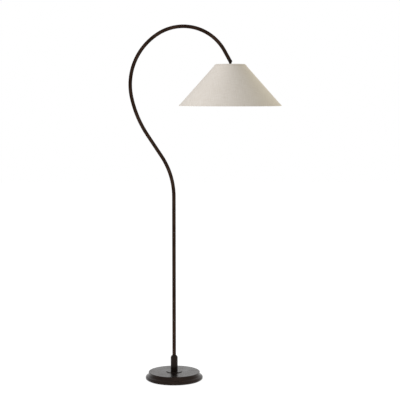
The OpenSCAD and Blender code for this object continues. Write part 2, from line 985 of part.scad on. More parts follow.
// Half-section of the cap's dome, a depth inside its outer face
module cap_section(depth) {
    top = fitter_bottom - hub_h - depth;
    rounded_slab(holder_d / 2 - depth, cap_bottom - depth, top, cap_round_r - depth);
}

// Pressed cap with a threaded hub
module holder_cap() {
    color("#b08d4a")
        at_pin()
            rotate_extrude()
                difference() {
                    union() {
                        difference() {
                            cap_section(0);
                            cap_section(sheet_t);
                        }
                        slab(hub_d / 2, fitter_bottom - hub_h - sheet_t, fitter_bottom);
                    }
                    slab(stud_r + seat_gap, cap_bottom, fitter_bottom + cut);
                }
}

// Hole for the switch's shaft through the shell and its sleeve
module switch_hole(r) {
    translate([0, 0, switch_z])
        rotate([90, 0, 0])
            rod(r, 0, holder_d);
}

// Half-section of the shell with its two beads, a depth inside its outer face. A bead's two
// rounds share their middle on the shell's inner face, so that the sheet stays as thick
module shell_section(depth) {
    slab(shell_r - depth, shell_bottom, shell_top);
    for (z = [shell_bottom + shell_bead_h, shell_bottom + shell_bead_h + shell_bead_pitch])
        translate([shell_r - sheet_t, z])
            circle(shell_bead_r - depth);
}

// Drawn shell, open at both ends, with two pressed beads and a hole for the switch's shaft
module holder_shell() {
    color("#b08d4a")
        at_pin()
            difference() {
                rotate_extrude()
                    difference() {
                        shell_section(0);
                        shell_section(sheet_t);
                    }
                switch_hole(switch_r + shaft_gap);
            }
}

module holder_sleeve() {
    color("#c8b89a")
        at_pin()
            difference() {
                sleeve(sleeve_r, sleeve_r - sleeve_t, shell_bottom + sheet_t, shell_top);
                switch_hole(switch_r + shaft_gap);
            }
}

// Moulded inner body with two flats for the terminals and the switch's blind bore
module holder_body() {
    color("#3b2416")
        at_pin()
            difference() {
                intersection() {
                    rod(body_r, body_bottom, body_top);
                    translate([-flat_x, -2 * body_r, body_bottom])
                        cube([flats_w, 4 * body_r, body_h]);
                }
                translate([0, 0, switch_z])
                    rotate([90, 0, 0])
                        rod(switch_r + run_gap, body_r - switch_sunk - swing_gap, 2 * body_r);
                at_terminals()
                    rod(terminal_shank_d / 2 + seat_gap, -terminal_l - seat_gap, cut);
            }
}

// Brass cup that takes the bulb's cap, with a hole in its floor for the contact
module holder_screw_shell() {
    outer = shell_thread_r + shell_thread_t;
    floor_z = body_bottom - shell_thread_t;
    color("#c9a24f")
        at_pin()
            difference() {
                rod(outer, floor_z - shell_thread_h, body_bottom);
                rod(shell_thread_r, floor_z - shell_thread_h - cut, floor_z);
                rod(contact_d / 2 + contact_gap, floor_z - cut, body_bottom + cut);
            }
}

// Centre contact under the body: a rivet with a raised tip
module holder_contact() {
    color("#c9a24f")
        at_pin() {
            rod(contact_d / 2, body_bottom - shell_thread_t - contact_t / 2, body_bottom);
            rod(contact_tip_d / 2, contact_z, body_bottom);
        }
}

// Points +Z out of each of the body's two flats
module at_terminals() {
    for (side = [0, 180])
        rotate([0, 0, side])
            translate([flat_x, 0, terminal_z])
                rotate([0, 90, 0])
                    children();
}

// The two terminal screws, each with a conductor's end under its head
module terminal_screws() {
    head = wire_lead_d + 2 * seat_gap;
    color("#c9a24f")
        at_pin()
            at_terminals() {
                rod(terminal_shank_d / 2, -terminal_l, head);
                rod(terminal_d / 2, head, head + terminal_t);
            }
}

// Two conductors from the swivel's neck, out over the body and down to the terminals
module holder_conductors() {
    core_r = wire_lead_d / 2;
    start = wire_lead_gap / 2;
    out = flat_x + seat_gap + core_r;
    turn_z = stud_end - wire_lead_r;
    path = [
        [-cup_r - stud_end, 0],
        [wire_lead_r, square_bend],
        [out - start - 2 * wire_lead_r, 0],
        [wire_lead_r, -square_bend],
        [turn_z - wire_lead_r - terminal_z - terminal_shank_d / 2 - seat_gap, 0]
    ];
    color("#1a1a1a")
        at_pin()
            for (side = [0, 180])
                rotate([0, 0, side])
                    translate([start, 0, -cup_r])
                        rotate([180, 0, 0])
                            bent(path, core_r);
}

// ---- Turn switch ----

module switch_shaft() {
    color("#c9a24f")
        at_pin()
            translate([0, 0, switch_z])
                rotate([90, 0, 0])
                    rod(switch_r, body_r - switch_sunk, knob_y + knob_seat);
}

module switch_knob() {
    color("#151515")
        at_pin()
            translate([0, 0, switch_z])
                rotate([90, 0, 0])
                    difference() {
                        rotate_extrude()
                            rounded_slab(knob_r, knob_y, knob_y + knob_l, knob_edge_r);
                        rod(switch_r + seat_gap, knob_y - cut, knob_y + knob_seat + seat_gap);
                        for (i = [0 : knob_flutes - 1])
                            rotate([0, 0, i * 360 / knob_flutes])
                                translate([knob_r, 0, 0])
                                    rod(knob_flute_r, knob_y - cut, knob_y + knob_l + cut);
                    }
}

// ---- Bulb ----

// Half-section of the envelope, a depth inside its outer face
module envelope(depth) {
    intersection() {
        translate([0, globe_z])
            circle(bulb_r - depth);
        slab(bulb_r, globe_z - bulb_r, globe_z);
    }
    s_curve([0, globe_z], bulb_r - depth, [curve_x, curve_z], curve_r + depth);
    slab(neck_r - depth, globe_z, cap_low);
}

module bulb_glass() {
    color("#f4f1ea")
        at_pin()
            rotate_extrude()
                difference() {
                    envelope(0);
                    envelope(glass_t);
                }
}

module bulb_cap() {
    color("#b9b9b4")
        at_pin()
            rod(bulb_cap_d / 2, cap_low, cap_low + bulb_cap_h);
}

module bulb_insulator() {
    color("#202020")
        at_pin()
            translate([0, 0, cap_low + bulb_cap_h])
                cylinder(d1 = bulb_insulator_d, d2 = bulb_contact_d, h = bulb_insulator_h);
}

module bulb_contact() {
    color("#b9b9b4")
        at_pin()
            rod(bulb_contact_d / 2, bulb_z - bulb_contact_h, bulb_z);
}

// ---- The lamp ----

base_casting();
base_felt();
check_ring();
cord_bushing();
stem_nipple();
base_washer();
base_lockwasher();
base_locknut();
pole_coupling();
coupling_set_screw();
lower_pole();
pole_joiner();
crook_tube();
supply_lead();
swivel_upper();
swivel_friction_ring();
swivel_screw();
swivel_cap_nut();
swivel_lower();
shade_ring_nut();
shade_fitter();
shade_bottom_ring();
shade_liner();
shade_fabric();
shade_top_trim();
shade_bottom_trim();
holder_cap();
holder_shell();
holder_sleeve();
holder_body();
holder_screw_shell();
holder_contact();
terminal_screws();
holder_conductors();
switch_shaft();
switch_knob();
bulb_glass();
bulb_cap();
bulb_insulator();
bulb_contact();
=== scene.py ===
# %% [markdown]
# # Dressing a bridge floor lamp
#
# The lamp's pieces come from a CAD model: a cast base, a tube bent into a crook, a friction
# swivel, a cone shade and a lampholder with its bulb. Here each of them gets the finish that
# the real one has, and what a CAD model leaves plain is made anew: the linen as one sheet
# that laps over itself at the back, the tapes folded over its edges, the felt, and the rolled
# threads of the bulb and its socket.
#
# Everything is in metres, in the CAD model's own frame: +Z is up, the pole stands on the
# origin, and the crook bends in the XZ plane with the shade towards +X.

# %% Tools
import json
import math

import bmesh
import bpy
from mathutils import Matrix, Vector


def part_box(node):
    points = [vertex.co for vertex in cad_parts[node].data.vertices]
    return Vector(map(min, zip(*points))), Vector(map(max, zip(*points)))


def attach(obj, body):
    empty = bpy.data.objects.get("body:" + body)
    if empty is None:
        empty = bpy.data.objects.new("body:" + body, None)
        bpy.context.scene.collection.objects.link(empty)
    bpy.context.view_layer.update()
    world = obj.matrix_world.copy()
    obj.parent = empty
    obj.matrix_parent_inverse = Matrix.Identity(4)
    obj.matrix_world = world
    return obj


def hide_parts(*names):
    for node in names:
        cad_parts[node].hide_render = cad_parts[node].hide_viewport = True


MM = 0.001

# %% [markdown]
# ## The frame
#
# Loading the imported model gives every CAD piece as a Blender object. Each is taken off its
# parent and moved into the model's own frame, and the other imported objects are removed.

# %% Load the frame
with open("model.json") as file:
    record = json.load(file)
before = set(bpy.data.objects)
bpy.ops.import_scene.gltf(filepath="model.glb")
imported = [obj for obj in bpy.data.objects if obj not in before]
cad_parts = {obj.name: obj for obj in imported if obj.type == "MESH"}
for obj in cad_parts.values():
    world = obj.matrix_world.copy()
    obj.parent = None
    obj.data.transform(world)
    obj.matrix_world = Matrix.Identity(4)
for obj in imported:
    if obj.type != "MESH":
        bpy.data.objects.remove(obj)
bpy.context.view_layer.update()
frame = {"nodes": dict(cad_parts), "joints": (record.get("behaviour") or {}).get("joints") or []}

# %% [markdown]
# The head hangs from the swivel's pin, and most of what is added here is round about the
# head's upright axis. So the axis and the shade's cone are worked out once from the CAD
# pieces themselves.

# %% Where the head hangs
tilt = next(j for j in frame["joints"] if j["name"] == "head_tilt")
pin = Vector(tilt["pos_m"])
axis_x = pin.x

fabric_low, fabric_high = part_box("shade_fabric")
shade_bottom_r = (fabric_high.x - fabric_low.x) / 2
shade_top_z, shade_bottom_z = fabric_high.z, fabric_low.z
print("pin at", tuple(round(v, 4) for v in pin), "shade radius", round(shade_bottom_r, 4))


def radius_at(node, z, slack=1 * MM):
    """Largest distance from the head's axis of a CAD node's vertices near height z."""
    near = [v.co for v in frame["nodes"][node].data.vertices if abs(v.co.z - z) < slack]
    return max(math.hypot(co.x - axis_x, co.y) for co in near)


shade_top_r = radius_at("shade_fabric", shade_top_z)
shade_lean = math.atan2(shade_bottom_r - shade_top_r, shade_top_z - shade_bottom_z)
print("shade's top radius", round(shade_top_r, 4), "leans", round(math.degrees(shade_lean), 1))

# %% [markdown]
# ## Colours and nodes
#
# Paint and cloth colours are written the way a paint chart or a picture editor gives them,
# as sRGB hex. Blender's shaders want linear light, so one function turns them.
#
# A second helper adds one shader node, sets it up and wires both its sides in a single call.
# That keeps each finish readable from top to bottom, like a recipe.

# %% Colours
def linear(srgb_hex):
    """Linear RGBA of a colour written as sRGB hex."""
    channels = [int(srgb_hex[i:i + 2], 16) / 255 for i in (1, 3, 5)]
    return [c / 12.92 if c <= 0.04045 else ((c + 0.055) / 1.055) ** 2.4 for c in channels] + [1]


# %% One node, and a bare finish
def add_node(material, kind, inputs=None, feeds=None, **settings):
    """Adds a node. inputs maps a socket to a value, or to the node or output that feeds it, and
    feeds is a socket that the node feeds itself. A node stands for its first output."""
    tree = material.node_tree
    node = tree.nodes.new(kind)
    for name, value in settings.items():
        setattr(node, name, value)
    for socket, value in (inputs or {}).items():
        if isinstance(value, bpy.types.Node):
            value = value.outputs[0]
        if isinstance(value, bpy.types.NodeSocket):
            tree.links.new(value, node.inputs[socket])
        else:
            node.inputs[socket].default_value = value
    if feeds is not None:
        tree.links.new(node.outputs[0], feeds)
    return node


def new_finish(name, base, roughness, **sockets):
    """A material and its surface shader, with the shader's own sockets set."""
    material = bpy.data.materials.new(name)
    material.use_nodes = True
    surface = material.node_tree.nodes["Principled BSDF"]
    surface.inputs["Base Color"].default_value = linear(base)
    surface.inputs["Roughness"].default_value = roughness
    for socket, value in sockets.items():
        surface.inputs[socket.replace("_", " ")].default_value = value
    return material, surface


# %% [markdown]
# No real finish has one colour all over. Paint pools, metal tarnishes and flax varies, so
# nearly every finish here wanders between two close colours. The patches are laid out in
# object space, which is in metres and stays with a piece when it moves.

# %% Two colours in patches
def two_tone(material, surface, share, colours, places):
    """Base colour that goes from one colour to the other as share goes from place to place."""
    ramp = add_node(material, "ShaderNodeValToRGB", {"Fac": share},
                    feeds=surface.inputs["Base Color"])
    for stop, place, colour in zip(ramp.color_ramp.elements, places, colours):
        stop.position = place
        stop.color = linear(colour)


def mottle(material, surface, coords, size, colours, roughness=None):
    """Base colour that wanders between two colours in patches of about size metres. Where a
    range of roughness is given, it wanders with them."""
    patches = add_node(material, "ShaderNodeTexNoise",
                       {"Vector": coords, "Scale": 1 / size, "Detail": 3.0})
    two_tone(material, surface, patches, colours, (0.35, 0.65))
    if roughness:
        add_node(material, "ShaderNodeMapRange",
                 {"Value": patches, "From Min": 0.3, "From Max": 0.7, "To Min": roughness[0],
                  "To Max": roughness[1]}, feeds=surface.inputs["Roughness"])


# %% [markdown]
# ## Bronze lacquer on the cast base
#
# The base is grey iron, turned on its top, primed and sprayed with a dark brown bronze
# lacquer. The eye sees a deep brown black that mirrors the room at a low angle, with the
# faint orange peel that any sprayed coat has, and a little more haze where hands and dusters
# have been. A metallic base under a clear coat gives both: the pigment's brown and the
# coat's mirror.

# %% Cast base finish
def bronze_lacquer(name, dark, light, peel, roughness, haze):
    """Sprayed bronze lacquer: peel is the size of the orange peel, in metres."""
    material, surface = new_finish(name, dark, roughness, Metallic=1.0, Coat_Weight=0.16,
                                   Coat_Roughness=0.08, Coat_IOR=1.5)
    coords = add_node(material, "ShaderNodeTexCoord").outputs["Object"]
    mottle(material, surface, coords, 40 * MM, (dark, light), (roughness, roughness + haze))
    orange_peel = add_node(material, "ShaderNodeTexNoise",
                           {"Vector": coords, "Scale": 1 / peel, "Detail": 1.0})
    add_node(material, "ShaderNodeBump",
             {"Height": orange_peel, "Distance": 0.02 * MM, "Strength": 0.25},
             feeds=surface.inputs["Normal"])
    return material


cast_lacquer = bronze_lacquer("bronze_lacquer_on_ground_iron", "#1c1410", "#261c17",
                              peel=2.5 * MM, roughness=0.27, haze=0.10)
turned_lacquer = bronze_lacquer("bronze_lacquer_on_turned_steel", "#1c1410", "#251b16",
                                peel=1.5 * MM, roughness=0.28, haze=0.10)
print("lacquers:", cast_lacquer.name, turned_lacquer.name)

# %% [markdown]
# ## Satin bronze on the tube
#
# The tube is cold-drawn steel, linished along its length before it was bent and lacquered,
# so fine lines run along it under the colour. They are drawn as a noise stretched along the
# pole, some ten times coarser than real linishing, because the true lines can't show. What
# the eye gets from them is silk, not relief: the roughness changes from line to line, and the
# lacquer leaves next to nothing to feel. In the crook they stay upright, where on the real
# tube they follow the bend, because lines this fine don't show which way they run. The flake
# in the colour is dark, so even at its edges the tube mirrors the room only faintly.

# %% Tube finish
LINE_WIDTH = 0.6 * MM
LINE_LENGTH = 60 * MM
TUBE_PATCH = 60 * MM
tube_lacquer, tube_surface = new_finish("satin_bronze_on_drawn_steel", "#2a1f19", 0.38,
                                        Metallic=1.0, Specular_Tint=linear("#1d1511"))
tube_coords = add_node(tube_lacquer, "ShaderNodeTexCoord").outputs["Object"]
mottle(tube_lacquer, tube_surface, tube_coords, TUBE_PATCH, ("#271b15", "#392b23"))
drawn = add_node(tube_lacquer, "ShaderNodeMapping",
                 {"Vector": tube_coords,
                  "Scale": (1 / LINE_WIDTH, 1 / LINE_WIDTH, 1 / LINE_LENGTH)})
drawn_lines = add_node(tube_lacquer, "ShaderNodeTexNoise",
                       {"Vector": drawn, "Scale": 1.0, "Detail": 2.0})
add_node(tube_lacquer, "ShaderNodeMapRange",
         {"Value": drawn_lines, "From Min": 0.3, "From Max": 0.7, "To Min": 0.30,
          "To Max": 0.46}, feeds=tube_surface.inputs["Roughness"])
add_node(tube_lacquer, "ShaderNodeBump",
         {"Height": drawn_lines, "Distance": 0.004 * MM, "Strength": 0.05},
         feeds=tube_surface.inputs["Normal"])
print("tube:", tube_lacquer.name)

# %% [markdown]
# ## Linen
#
# The shade's skin is plain-woven linen, bonded flat to a sheet of styrene. The sheet is then
# cut as a sector of a ring and rolled into the cone. So the threads run straight in the flat
# sheet, not round the cone: upright at the front, and slanting more and more towards the lap
# at the back. The flat sheet's own coordinates give exactly that. On a cone that leans by an
# angle, a point's distance from the tip is its radius over the sine of the lean, and its
# angle in the flat is its angle round the axis times that sine.
#
# Linen is spun from flax of uneven thickness, so thick slubs show as short bars in both
# directions. Real threads lie 0.6 mm apart. They are drawn 1.2 mm apart here, and 0.9 mm on
# the tapes, so that a close view still shows a weave.

# %% Flat coordinates of a rolled cone
def flat_cone(material):
    """Where a point lay in the flat linen before it was rolled: across the sheet from its middle
    thread, and down from the cone's tip, in metres."""
    coords = add_node(material, "ShaderNodeTexCoord").outputs["Object"]
    off_axis = add_node(material, "ShaderNodeMapping",
                        {"Vector": coords, "Location": (-axis_x, 0, 0), "Scale": (1, -1, 0)})
    spot = add_node(material, "ShaderNodeSeparateXYZ", {"Vector": off_axis})
    radius = add_node(material, "ShaderNodeVectorMath", {0: off_axis}, operation="LENGTH")
    angle = add_node(material, "ShaderNodeMath", {0: spot.outputs["X"], 1: spot.outputs["Y"]},
                     operation="ARCTAN2")
    sine = math.sin(shade_lean)
    reach = add_node(material, "ShaderNodeMath", {0: radius.outputs["Value"], 1: sine},
                     operation="DIVIDE")
    turn = add_node(material, "ShaderNodeMath", {0: angle, 1: sine}, operation="MULTIPLY")
    flat = []
    for wave in ("SINE", "COSINE"):
        share = add_node(material, "ShaderNodeMath", {0: turn}, operation=wave)
        flat.append(add_node(material, "ShaderNodeMath", {0: reach, 1: share},
                             operation="MULTIPLY"))
    return flat


# %% Plain weave
def plain_weave(material, across, down, spacing):
    """Height from 0 to 1 of a plain weave: each thread passes over one and under one."""
    place = add_node(material, "ShaderNodeCombineXYZ", {"X": across, "Y": down})
    count = add_node(material, "ShaderNodeVectorMath", {0: place, 1: [spacing] * 3},
                     operation="DIVIDE")
    over = add_node(material, "ShaderNodeTexChecker",
                    {"Vector": count, "Color1": (1, 1, 1, 1), "Color2": (0, 0, 0, 1),
                     "Scale": 1.0})
    round_threads = add_node(material, "ShaderNodeVectorMath", {0: count, 1: [math.pi] * 3},
                             operation="MULTIPLY")
    for step in ("SINE", "ABSOLUTE"):
        round_threads = add_node(material, "ShaderNodeVectorMath", {0: round_threads},
                                 operation=step)
    height = add_node(material, "ShaderNodeSeparateXYZ", {"Vector": round_threads})
    return add_node(material, "ShaderNodeMix",
                    {"Factor": over.outputs["Fac"], "A": height.outputs["Y"],
                     "B": height.outputs["X"]}, data_type="FLOAT")


def slubs(material, along, beside, length, width):
    """Uneven flax: a noise drawn out along one thread direction."""
    place = add_node(material, "ShaderNodeCombineXYZ", {"X": beside, "Y": along})
    drawn_out = add_node(material, "ShaderNodeMapping",
                         {"Vector": place, "Scale": (1 / width, 1 / length, 1)})
    return add_node(material, "ShaderNodeTexNoise",
                    {"Vector": drawn_out, "Scale": 1.0, "Detail": 2.0, "Roughness": 0.6})


# %% Linen finish
SLUB_LENGTH = 45 * MM
SLUB_WIDTH = 1.6 * MM
THREAD_RELIEF = 0.12 * MM


def linen(name, pale, deep, spacing):
    """Laminated linen in two close shades of flax."""
    material, surface = new_finish(name, pale, 0.85, Sheen_Weight=0.15, Sheen_Roughness=0.5,
                                   Specular_IOR_Level=0.25)
    across, down = flat_cone(material)
    upright = slubs(material, down, across, SLUB_LENGTH, SLUB_WIDTH)
    level = slubs(material, across, down, SLUB_LENGTH, SLUB_WIDTH)
    weave = plain_weave(material, across, down, spacing)
    uneven = add_node(material, "ShaderNodeMix", {"Factor": 0.5, "A": upright, "B": level},
                      data_type="FLOAT")
    two_tone(material, surface, uneven, (deep, pale), (0.36, 0.62))
    relief = add_node(material, "ShaderNodeMix", {"Factor": 0.4, "A": uneven, "B": weave},
                      data_type="FLOAT")
    add_node(material, "ShaderNodeBump",
             {"Height": relief, "Distance": THREAD_RELIEF, "Strength": 0.5},
             feeds=surface.inputs["Normal"])
    return material


shade_linen = linen("plain_woven_linen", "#dfd7c8", "#d1c7b5", spacing=1.2 * MM)
tape_linen = linen("folded_linen_tape", "#ddd5c6", "#cfc5b3", spacing=0.9 * MM)
print("linen:", shade_linen.name, tape_linen.name)

# %% [markdown]
# ## The small finishes
#
# What is left is a handful of plain trade finishes. Each keeps the typical values of its
# material, and each has the one trait that tells the eye what it is: felt has the sheen of
# loose fibres, plated wire is bright and hardly grained, styrene is smooth and faintly
# blotched where it was glued, phenolic is mottled, and rolled brass has a soft satin grain.

# %% Metals of the lampholder, the wires and the fastening
def satin_metal(name, dark, light, roughness, grain):
    """Bare or plated metal with a fine grain, in metres."""
    material, surface = new_finish(name, dark, roughness, Metallic=1.0)
    coords = add_node(material, "ShaderNodeTexCoord").outputs["Object"]
    mottle(material, surface, coords, 8 * MM, (dark, light), (roughness - 0.06, roughness + 0.08))
    fine_grain = add_node(material, "ShaderNodeTexNoise",
                          {"Vector": coords, "Scale": 1 / grain, "Detail": 2.0})
    add_node(material, "ShaderNodeBump",
             {"Height": fine_grain, "Distance": 0.01 * MM, "Strength": 0.2},
             feeds=surface.inputs["Normal"])
    return material


rolled_brass = satin_metal("rolled_brass", "#b8924e", "#cba864", 0.28, 0.5 * MM)
zinc_steel = satin_metal("zinc_plated_steel", "#a5a6a4", "#bcbdb9", 0.34, 0.6 * MM)
plated_wire = satin_metal("bright_plated_wire", "#c4c2ba", "#d6d4cc", 0.25, 0.7 * MM)
bulb_metal = satin_metal("rolled_aluminium", "#b4b4b0", "#c6c6c2", 0.30, 0.5 * MM)
black_steel = satin_metal("black_oxide_steel", "#2e2e2e", "#3c3c3a", 0.45, 0.5 * MM)
metals = (rolled_brass, zinc_steel, plated_wire, bulb_metal, black_steel)
print("metals:", [metal.name for metal in metals])


# %% Plastics, fibre and paper
def moulded(name, dark, light, roughness, grain, blotch=15 * MM, depth=0.02 * MM, **sockets):
    """Plastic or board with faint blotches and a fine surface grain, in metres."""
    material, surface = new_finish(name, dark, roughness, **sockets)
    coords = add_node(material, "ShaderNodeTexCoord").outputs["Object"]
    mottle(material, surface, coords, blotch, (dark, light), (roughness - 0.05, roughness + 0.08))
    skin = add_node(material, "ShaderNodeTexNoise",
                    {"Vector": coords, "Scale": 1 / grain, "Detail": 3.0})
    add_node(material, "ShaderNodeBump", {"Height": skin, "Distance": depth, "Strength": 0.4},
             feeds=surface.inputs["Normal"])
    return material


black_phenolic = moulded("moulded_black_phenolic", "#141414", "#1e1d1c", 0.32, 0.8 * MM)
brown_phenolic = moulded("moulded_brown_phenolic", "#3a2417", "#4a2f1f", 0.38, 0.8 * MM, 3 * MM)
black_pvc = moulded("extruded_black_pvc", "#171717", "#222120", 0.45, 1.0 * MM)
styrene = moulded("calendered_white_styrene", "#efebe2", "#f4f1ea", 0.42, 3 * MM, 60 * MM)
fibre = moulded("vulcanised_fibre", "#85765a", "#94856a", 0.7, 0.6 * MM, 3 * MM)
board = moulded("waxed_paperboard", "#c0b08f", "#cdbf9f", 0.75, 0.7 * MM, 4 * MM)
black_insulator = moulded("fused_black_insulator", "#1a1a1b", "#262627", 0.2, 1.0 * MM, 4 * MM)
pressed_felt = moulded("pressed_wool_felt", "#1b1918", "#2c2926", 0.95, 0.5 * MM, 2 * MM,
                       0.4 * MM, Sheen_Weight=0.4)
print("plastics and felt:", black_phenolic.name, styrene.name, pressed_felt.name)

# %% [markdown]
# The bulb is coated white on the inside of its glass. From outside it is a clean, glossy
# skin with a milky depth, which a clear coat over a white, slightly scattering body gives.

# %% Coated bulb glass
bulb_white, bulb_surface = new_finish("white_coated_bulb_glass", "#f1efe9", 0.45, Coat_Weight=1.0,
                                      Coat_Roughness=0.04, Subsurface_Weight=0.2,
                                      Subsurface_Scale=2 * MM)
bulb_coords = add_node(bulb_white, "ShaderNodeTexCoord").outputs["Object"]
mottle(bulb_white, bulb_surface, bulb_coords, 25 * MM, ("#edebe4", "#f5f3ee"))
print("bulb:", bulb_white.name)

# %% [markdown]
# ## Finishes on the CAD pieces
#
# The rigid CAD pieces keep their meshes. Only their material slots change. The pieces that
# are made anew further down are left out here.

# %% Give every CAD piece its finish
FINISHES = {
    cast_lacquer: ["base_casting"],
    turned_lacquer: ["check_ring", "pole_coupling", "swivel_upper", "swivel_lower",
                     "swivel_screw", "swivel_cap_nut", "shade_ring_nut"],
    tube_lacquer: ["lower_pole", "crook_tube"],
    black_phenolic: ["cord_bushing", "switch_knob"],
    black_pvc: ["supply_lead", "holder_conductors"],
    rolled_brass: ["stem_nipple", "base_locknut", "holder_cap", "holder_shell",
                   "holder_contact", "terminal_screws", "switch_shaft"],
    zinc_steel: ["base_washer", "base_lockwasher", "pole_joiner"],
    black_steel: ["coupling_set_screw"],
    plated_wire: ["shade_fitter", "shade_bottom_ring"],
    fibre: ["swivel_friction_ring"],
    styrene: ["shade_liner"],
    board: ["holder_sleeve"],
    brown_phenolic: ["holder_body"],
    bulb_white: ["bulb_glass"],
    bulb_metal: ["bulb_contact"],
    black_insulator: ["bulb_insulator"],
}
MADE_ANEW = ["shade_fabric", "shade_top_trim", "shade_bottom_trim", "base_felt", "bulb_cap",
             "holder_screw_shell"]
for finish, names in FINISHES.items():
    for name in names:
        slots = frame["nodes"][name].data.materials
        slots.clear()
        slots.append(finish)
dressed = [name for names in FINISHES.values() for name in names]
assert sorted(dressed + MADE_ANEW) == sorted(frame["nodes"])
print("finished CAD pieces:", len(dressed), "made anew:", len(MADE_ANEW))

# %% [markdown]
# ## Forms that go round an axis
#
# Linen, tapes, felt and threads all go round an axis, but none is a plain turned form. The
# linen laps over itself, a tape climbs over that lap, and a thread rises as it goes round. So
# one helper sweeps an outline of points round the axis and asks for it anew at every step.

# %% Sweep an outline
def round_axis(radius, angle, z, middle_x=axis_x):
    """Point at an angle from the front, counted towards +X."""
    return middle_x + radius * math.sin(angle), -radius * math.cos(angle), z


def swept(name, outline, steps, closed=True):
    """Object through outlines: outline(share) gives the points where share of the way is done."""
    rings = [outline(step / steps) for step in range(steps if closed else steps + 1)]
    size = len(rings[0])
    points = [point for ring in rings for point in ring]
    faces = []
    for step in range(steps):
        here, there = step * size, (step + 1) % len(rings) * size
        for i in range(size):
            j = (i + 1) % size
            faces.append((here + i, here + j, there + j, there + i))
    if not closed:
        faces += [tuple(range(size)), tuple(range(len(points) - size, len(points)))]
    mesh = bpy.data.meshes.new(name)
    mesh.from_pydata(points, [], faces)
    form = bmesh.new()
    form.from_mesh(mesh)
    bmesh.ops.remove_doubles(form, verts=form.verts, dist=0.001 * MM)
    bmesh.ops.recalc_face_normals(form, faces=form.faces)
    form.to_mesh(mesh)
    form.free()
    mesh.shade_smooth()
    mesh.set_sharp_from_angle(angle=math.radians(50))
    piece = bpy.data.objects.new(name, mesh)
    bpy.context.scene.collection.objects.link(piece)
    return piece


# %% Give a made piece its finish and place
def install(piece, finish, body, slot, *nodes):
    """Gives a piece its finish and body, and hides the CAD nodes that it stands for. slot is not
    used.
    """
    piece.data.materials.append(finish)
    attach(piece, body)
    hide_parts(*nodes)
    print(piece.name, "stands for", ", ".join(nodes), "with", len(piece.data.polygons), "faces")


def eased(value):
    """0 below 0, 1 above 1, and a smooth step between."""
    held = min(max(value, 0), 1)
    return held * held * (3 - 2 * held)


# %% [markdown]
# ## The linen and its lap
#
# The shade's skin is one sheet. Its two straight edges meet at the back, where 12 mm of one
# lies glued over the other. Just before the lap the sheet rises by its own thickness, so the
# lap shows as a low step that runs from rim to rim. The lap is as wide at the top as at the
# bottom, so at the top it takes a larger angle.

# %% Linen skin
LINEN = 0.6 * MM
GLUE = 0.05 * MM
LAP = 12 * MM
LAP_RISE = 9 * MM
ROUND_STEPS = 360


def cone(z, out):
    """Radius and height of a point that stands out metres off the linen's outer face."""
    radius = shade_top_r + (shade_top_z - z) * math.tan(shade_lean)
    return radius + out * math.cos(shade_lean), z + out * math.sin(shade_lean)


def skin_outline(share, rows=13):
    """One upright section through the sheet, share of the way from its start to the lap's end."""
    outer, inner = [], []
    for row in range(rows):
        z = shade_bottom_z + (shade_top_z - shade_bottom_z) * row / (rows - 1)
        radius = cone(z, 0)[0]
        angle = -math.pi + share * (2 * math.pi + LAP / radius)
        rise = eased(((angle - math.pi) * radius + LAP_RISE) / LAP_RISE) * (LINEN + GLUE)
        for side, out in ((outer, rise), (inner, rise - LINEN)):
            r, height = cone(z, out)
            side.append(round_axis(r, angle, height))
    return outer + inner[::-1]


linen_skin = swept("linen_skin", skin_outline, ROUND_STEPS, closed=False)
install(linen_skin, shade_linen, "head", "linen", "shade_fabric")

# %% [markdown]
# ## The folded tapes
#
# A tape of the same linen is glued over each rim. From its outer edge it runs to the rim,
# round the wire ring inside, and ends on the liner. Its middle line is worked out once from
# the wire's own place, and given a thickness. Where the wire arms of the fitter pass, the top
# tape is slit on the inside. Where the skin laps, the tape climbs over the step.

# %% Middle line of a tape
LINER = 0.8 * MM
TAPE = 0.5 * MM
TAPE_WIDTH = 8 * MM
FOLD = 1.0 * MM
TAPE_END = 3.5 * MM
PAST_WIRE = 1 * MM
CORNER_POINTS = 7
WRAP_POINTS = 16

ring_low, ring_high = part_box("shade_bottom_ring")
wire_r = (ring_high.z - ring_low.z) / 2


def tape_line(node, rim_z, up, wrap):
    """Points (radius, height) of a tape's middle line. node holds the wire ring at that rim, up
    is 1 where the shade lies above the rim, and wrap is how far it goes round the wire."""
    low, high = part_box(node)
    wire_x = (high.x - low.x) / 2 - wire_r
    wire_z = low.z + wire_r if up > 0 else high.z - wire_r
    out = GLUE + TAPE / 2
    under_z = rim_z - up * out
    start = Vector(cone(rim_z + up * TAPE_WIDTH, out))
    corner = Vector(cone(under_z - out * math.sin(shade_lean), out))
    leg = (start - corner).normalized()
    line = [start, start.lerp(corner, 0.5)]
    before, after = corner + leg * FOLD, corner - Vector((FOLD, 0))
    for i in range(CORNER_POINTS):
        t = i / (CORNER_POINTS - 1)
        line.append(before.lerp(corner, t).lerp(corner.lerp(after, t), t))
    reach = abs(wire_z - under_z)
    for i in range(WRAP_POINTS):
        turn = wrap * i / (WRAP_POINTS - 1)
        line.append(Vector((wire_x - reach * math.sin(turn),
                            wire_z - up * reach * math.cos(turn))))
    inside = -(LINEN + LINER + 2 * GLUE + TAPE / 2)
    for beyond in (reach + PAST_WIRE, reach + PAST_WIRE + TAPE_END):
        line.append(Vector(cone(wire_z + up * beyond, inside)))
    return line


def evenly(line, count, keep=1.0):
    """count points, evenly along the first keep of a line, each with its distance."""
    steps = [(b - a).length for a, b in zip(line, line[1:])]
    result, done, i = [], 0.0, 0
    for k in range(count):
        target = sum(steps) * keep * k / (count - 1)
        while i < len(steps) - 1 and done + steps[i] < target:
            done += steps[i]
            i += 1
        share = min((target - done) / steps[i], 1)
        result.append((line[i].lerp(line[i + 1], share), target))
    return result


